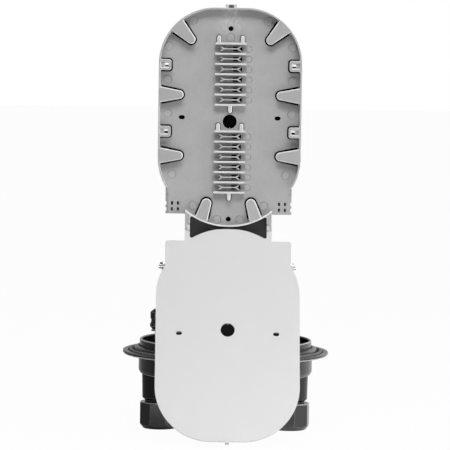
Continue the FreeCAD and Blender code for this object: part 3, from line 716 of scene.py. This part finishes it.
class CLOSURE_OT_base(bpy.types.Operator):
    """Finish the moulded base, its gland nuts, plugs and seals"""

    bl_idname = "closure.base"
    bl_label = "Base and glands"

    def execute(self, context):
        finish = context.scene.closure_finish
        satin = finish.base_roughness
        gloss = finish.black_gloss
        base = black_moulded("base_black", finish.base_black, satin, gloss, finish, BASE_GRAIN, base_lines)
        paint(["base_housing"], base)
        nut = black_moulded("nut_black", finish.base_black, satin - NUT_SMOOTHER, finish.nut_gloss, finish,
                            NUT_GRAIN, nut_lines)
        paint([f"gland_nut_{i}" for i in PORTS] + [f"pressure_ring_{i}" for i in PORTS], nut)
        plug = black_moulded("plug_black", finish.plug_black, PLUG_ROUGH, gloss, finish, BASE_GRAIN)
        paint([f"port_plug_{i}" for i in PORTS], plug)
        elastomer = rubber("seal_elastomer", finish.seal_grey, finish)
        paint(["dome_seal"] + [f"port_seal_{i}" for i in PORTS], elastomer)
        return {"FINISHED"}


class CLOSURE_OT_carrier(bpy.types.Operator):
    """Finish the black carrier behind the tray and add the snap hooks in its windows"""

    bl_idname = "closure.carrier"
    bl_label = "Tray carrier"

    def execute(self, context):
        finish = context.scene.closure_finish
        paint(["tray_carrier"], carrier_plastic("carrier_black", finish))
        tint = finish.base_black
        black = moulded("hook_black", tint, HOOK_ROUGH, HOOK_GLOSS, finish, finish.edge_radius,
                        BASE_GRAIN, scaled(tint, DARK_WEAR))
        hooks = bars("carrier_hooks", hook_profiles(), (-HOOK_MIDDLE, HOOK_MIDDLE), HOOK_HALF)
        new_piece("carrier_hooks", hooks, "closure", black)
        return {"FINISHED"}


class CLOSURE_OT_tray(bpy.types.Operator):
    """Finish the splice tray and add its ejector circles, catch stop and fillets"""

    bl_idname = "closure.tray"
    bl_label = "Splice tray"

    def execute(self, context):
        finish = context.scene.closure_finish
        tint = finish.tray_floor_grey
        grey = tray_plastic("tray_grey", tint, finish.pale_edge_width, finish)
        paint(["splice_tray", "hinge_pins"], grey)
        stop = bars("catch_stop", [STOP_PROFILE], (0.0,), STOP_HALF)
        new_piece("catch_stop", stop, "closure", grey)
        fillets = gap_fillets("tray_gap_fillets", *TRAY_CORNER)
        new_piece("tray_gap_fillets", fillets, "closure", grey)
        burnished = tray_plastic("mark_grey", scaled(tint, MARK_TINT), finish.mark_edge, finish)
        small = finish.rib_mark_radius
        large = finish.mark_radius
        places = [(MARK_COLUMN, row - step * RIB_PITCH, small)
                  for row in MARK_ROWS for step in range(SLOT_COUNT)]
        places += [(side * x, row, large) for x, row in MARK_PAIRS for side in (-1, 1)]
        places.append((*MARK_SINGLE, large))
        marks = ejector_marks("tray_ejector_marks", places, finish.mark_depth)
        new_piece("tray_ejector_marks", marks, "closure", burnished)
        return {"FINISHED"}


class CLOSURE_OT_lid(bpy.types.Operator):
    """Finish the light-grey lid and add its fillets"""

    bl_idname = "closure.lid"
    bl_label = "Tray lid"

    def execute(self, context):
        finish = context.scene.closure_finish
        tint = finish.lid_grey
        grey = moulded("lid_grey", tint, LID_ROUGH, LID_GLOSS, finish, finish.edge_radius,
                       LID_GRAIN, scaled(tint, LID_WEAR), LID_CLOUDY)
        paint(["tray_lid"], grey)
        fillets = gap_fillets("lid_gap_fillets", *LID_CORNER)
        new_piece("lid_gap_fillets", fillets, "lid", grey)
        return {"FINISHED"}


class CLOSURE_OT_hardware(bpy.types.Operator):
    """Finish the clamps, screws, stud and thumb knob"""

    bl_idname = "closure.hardware"
    bl_label = "Clamps and knob"

    def execute(self, context):
        finish = context.scene.closure_finish
        plated = ["foot_screws", "clamp_bar", "bar_screws", "clamp_plates", "clamp_screws",
                  "clamp_stud", "stud_washer"]
        paint(plated, zinc_plating("bright_zinc", finish.zinc, finish))
        knob = black_moulded(
            "knob_black", finish.knob_black, KNOB_ROUGH, finish.black_gloss, finish, KNOB_GRAIN)
        paint(["thumb_knob"], knob)
        return {"FINISHED"}


def soft_box(name, place, target, wide, tall, power):
    lamp = bpy.data.lights.new(name, "AREA")
    lamp.shape = "RECTANGLE"
    lamp.size = wide
    lamp.size_y = tall
    lamp.energy = power
    holder = bpy.data.objects.new(name, lamp)
    bpy.context.scene.collection.objects.link(holder)
    holder.location = place
    holder.rotation_euler = (Vector(target) - Vector(place)).to_track_quat("-Z", "Y").to_euler()
    holder.visible_camera = False


def white_studio(shader, toward, back_light):
    """Rays that see the studio, and its white, which fades out to the left in gloss and glass."""
    camera, glossy, through = (
        shader.node("ShaderNodeLightPath", {}, {}, name)
        for name in ("Is Camera Ray", "Is Glossy Ray", "Is Transmission Ray"))
    sideways, along, upward = shader.parts(toward)
    behind = along.clamped() * back_light
    before = (0 - along).clamped() * FRONT_LIGHT
    below = (0 - upward).clamped()
    level = (sideways * SIDE_GAIN + behind + before + below).clamped() * (1 - LEFT_LIGHT) + LEFT_LIGHT
    return (camera + glossy + through).clamped(), (camera + level).clamped()


class CLOSURE_OT_stage(bpy.types.Operator):
    """Set up floor, surrounding light, soft boxes and camera"""

    bl_idname = "closure.stage"
    bl_label = "Stage"

    def execute(self, context):
        scene = context.scene
        studio = scene.closure_studio
        scene.view_settings.view_transform = "Standard"
        self.floor(scene, CAD_BOX[0].z)
        self.surround(scene, studio)
        soft_box("key_box", *KEY_BOX, studio.key_power)
        soft_box("right_box", *RIGHT_BOX, studio.side_power)
        soft_box("low_box", *LOW_BOX, studio.low_power)
        self.camera(scene, studio)
        return {"FINISHED"}

    def floor(self, scene, height):
        mesh = bpy.data.meshes.new("floor")
        corners = [(x * FLOOR_REACH, y * FLOOR_REACH, height)
                   for x, y in ((-1, -1), (1, -1), (1, 1), (-1, 1))]
        mesh.from_pydata(corners, [], [(0, 1, 2, 3)])
        floor = bpy.data.objects.new("floor", mesh)
        scene.collection.objects.link(floor)
        material = new_material("floor_white")
        shader = Shader(material.node_tree)
        shader.feed(shader.surface, {"Base Color": rgba(FLOOR_WHITE), "Roughness": FLOOR_ROUGH})
        body = Socket(shader, shader.surface.outputs[0])
        place = shader.node("ShaderNodeNewGeometry", {}, {}, "Position")
        toward = shader.node("ShaderNodeVectorMath", {"operation": "NORMALIZE"}, {0: place})
        seen, level = white_studio(shader, toward, FLOOR_BACK_LIGHT)
        glow = shader.node("ShaderNodeEmission", {}, {"Color": level, "Strength": 1.0})
        shader.show(seen * FLOOR_GLOW, body, glow)
        mesh.materials.append(material)

    def surround(self, scene, studio):
        world = bpy.data.worlds.new("studio")
        world.use_nodes = True
        scene.world = world
        shader = Shader(world.node_tree)
        toward = shader.node("ShaderNodeTexCoord", {}, {}, "Generated")
        seen, level = white_studio(shader, toward, WALL_BACK_LIGHT)
        shader.feed(world.node_tree.nodes["Background"], {
            "Color": (1, 1, 1, 1), "Strength": seen * level * (1 - studio.fill) + studio.fill})

    def camera(self, scene, studio):
        lens = bpy.data.cameras.new("camera")
        lens.lens = studio.camera_lens
        lens.sensor_width = SENSOR_WIDTH
        lens.clip_end = CLIP_END
        camera = bpy.data.objects.new("camera", lens)
        scene.collection.objects.link(camera)
        back = studio.camera_distance
        yaw = studio.camera_yaw
        camera.location = (-studio.camera_side - back * math.sin(yaw),
                           -studio.camera_depth - back * math.cos(yaw), studio.camera_height)
        heading = Euler((0, 0, -yaw)).to_matrix()
        tilt = Euler((math.pi / 2 - studio.camera_pitch, 0, 0)).to_matrix()
        turn = Euler((0, 0, studio.camera_roll)).to_matrix()
        camera.rotation_euler = (heading @ tilt @ turn).to_euler()
        scene.camera = camera


STEPS = (CLOSURE_OT_base, CLOSURE_OT_carrier, CLOSURE_OT_tray,
         CLOSURE_OT_lid, CLOSURE_OT_hardware, CLOSURE_OT_stage)


class CLOSURE_PT_panel(bpy.types.Panel):
    """Sidebar list of the closure's steps and settings"""

    bl_label = "Splice closure"
    bl_idname = "CLOSURE_PT_panel"
    bl_space_type = "VIEW_3D"
    bl_region_type = "UI"
    bl_category = "Closure"

    def draw(self, context):
        for step in STEPS:
            self.layout.operator(step.bl_idname)
        for group in (context.scene.closure_finish, context.scene.closure_studio):
            for name in group.__annotations__:
                self.layout.prop(group, name)


CLASSES = (ClosureFinish, ClosureStudio, *STEPS, CLOSURE_PT_panel)


def register():
    for item in CLASSES:
        bpy.utils.register_class(item)
    bpy.types.Scene.closure_finish = PointerProperty(type=ClosureFinish)
    bpy.types.Scene.closure_studio = PointerProperty(type=ClosureStudio)


def unregister():
    del bpy.types.Scene.closure_studio
    del bpy.types.Scene.closure_finish
    for item in reversed(CLASSES):
        bpy.utils.unregister_class(item)


def main():
    register()
    bpy.ops.closure.base()
    bpy.ops.closure.carrier()
    bpy.ops.closure.tray()
    bpy.ops.closure.lid()
    bpy.ops.closure.hardware()
    bpy.ops.closure.stage()


if __name__ == "__main__":
    main()
